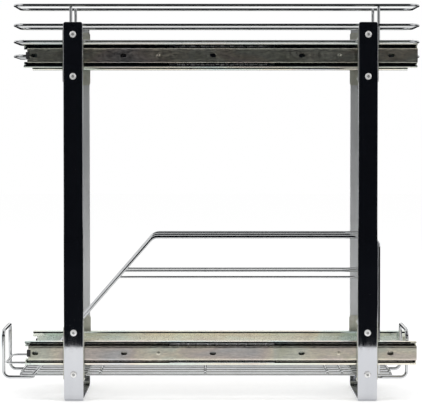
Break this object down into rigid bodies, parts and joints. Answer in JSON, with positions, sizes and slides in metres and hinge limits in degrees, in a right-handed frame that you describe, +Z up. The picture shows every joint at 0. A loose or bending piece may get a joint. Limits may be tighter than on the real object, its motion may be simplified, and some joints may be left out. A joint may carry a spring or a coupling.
{
  "type": "two-tier cabinet organizer",
  "caption": "Chrome pull-out cabinet organizer: flat-bar legs, ball-bearing slides, an upper wire tray basket and a lower wire basket with upright tray dividers.",
  "frame": {"origin": "on the floor, at the centre of the four floor screw holes, midway between the legs", "axes": "+X from the front, where the baskets are pulled out, to the rear; +Y to the left-hand side; +Z up"},
  "size_m": [0.546, 0.1652, 0.515],
  "materials": {
    "chrome_bar": "polished chrome plate",
    "chrome_wire": "bright chrome plate",
    "zinc_plate": "clear zinc plate",
    "zinc_slide": "zinc plate with a faint yellow and green tint, drawn along its length",
    "cage_steel": "plain steel",
    "bearing_steel": "polished steel",
    "bright_fastener": "nickel plate",
    "black_rubber": "matte"
  },
  "bodies": {
    "frame": {"front_u_frame": "chrome_bar", "rear_u_frame": "chrome_bar", "upper_front_left_bracket": "zinc_plate", "upper_front_right_bracket": "zinc_plate", "upper_rear_left_bracket": "zinc_plate", "upper_rear_right_bracket": "zinc_plate", "lower_front_left_bracket": "zinc_plate", "lower_front_right_bracket": "zinc_plate", "lower_rear_left_bracket": "zinc_plate", "lower_rear_right_bracket": "zinc_plate", "upper_left_fixed_rail": "zinc_slide", "upper_right_fixed_rail": "zinc_slide", "lower_left_fixed_rail": "zinc_slide", "lower_right_fixed_rail": "zinc_slide", "frame_screws": "bright_fastener", "frame_nuts": "bright_fastener", "rail_rivets": "bright_fastener", "rail_bumpers": "black_rubber"},
    "upper_basket": {"upper_left_channel": "zinc_slide", "upper_right_channel": "zinc_slide", "upper_left_tabs": "zinc_plate", "upper_right_tabs": "zinc_plate", "upper_tab_screws": "bright_fastener", "upper_bottom_rail": "chrome_wire", "upper_low_rail": "chrome_wire", "upper_middle_rail": "chrome_wire", "upper_top_rail": "chrome_wire", "upper_front_hoop": "chrome_wire", "upper_rear_hoop": "chrome_wire", "upper_floor_wires": "chrome_wire", "upper_cross_wires": "chrome_wire"},
    "lower_basket": {"lower_left_channel": "zinc_slide", "lower_right_channel": "zinc_slide", "lower_left_tabs": "zinc_plate", "lower_right_tabs": "zinc_plate", "lower_tab_screws": "bright_fastener", "lower_front_handle": "chrome_wire", "lower_rear_handle": "chrome_wire", "lower_side_rail": "chrome_wire", "lower_floor_wires": "chrome_wire", "lower_cross_wires": "chrome_wire", "lower_bearers": "chrome_wire", "left_divider": "chrome_wire", "center_divider": "chrome_wire", "right_divider": "chrome_wire", "left_divider_rail": "chrome_wire", "center_divider_rail": "chrome_wire", "right_divider_rail": "chrome_wire"},
    "upper_cages": {"upper_left_ball_cage": "cage_steel", "upper_right_ball_cage": "cage_steel", "upper_balls": "bearing_steel"},
    "lower_cages": {"lower_left_ball_cage": "cage_steel", "lower_right_ball_cage": "cage_steel", "lower_balls": "bearing_steel"}
  },
  "joints": [
    {"name": "upper_basket_slide", "type": "slide", "parent": "frame", "child": "upper_basket", "axis": [-1, 0, 0], "range_m": [0, 0.356]},
    {"name": "upper_cage_roll", "type": "slide", "parent": "frame", "child": "upper_cages", "axis": [-1, 0, 0], "range_m": [0, 0.178]},
    {"name": "lower_basket_slide", "type": "slide", "parent": "frame", "child": "lower_basket", "axis": [-1, 0, 0], "range_m": [0, 0.356]},
    {"name": "lower_cage_roll", "type": "slide", "parent": "frame", "child": "lower_cages", "axis": [-1, 0, 0], "range_m": [0, 0.178]}
  ],
  "couplings": [
    {"joint": "upper_cage_roll", "follows": "upper_basket_slide", "ratio": 0.5},
    {"joint": "lower_cage_roll", "follows": "lower_basket_slide", "ratio": 0.5}
  ]
}
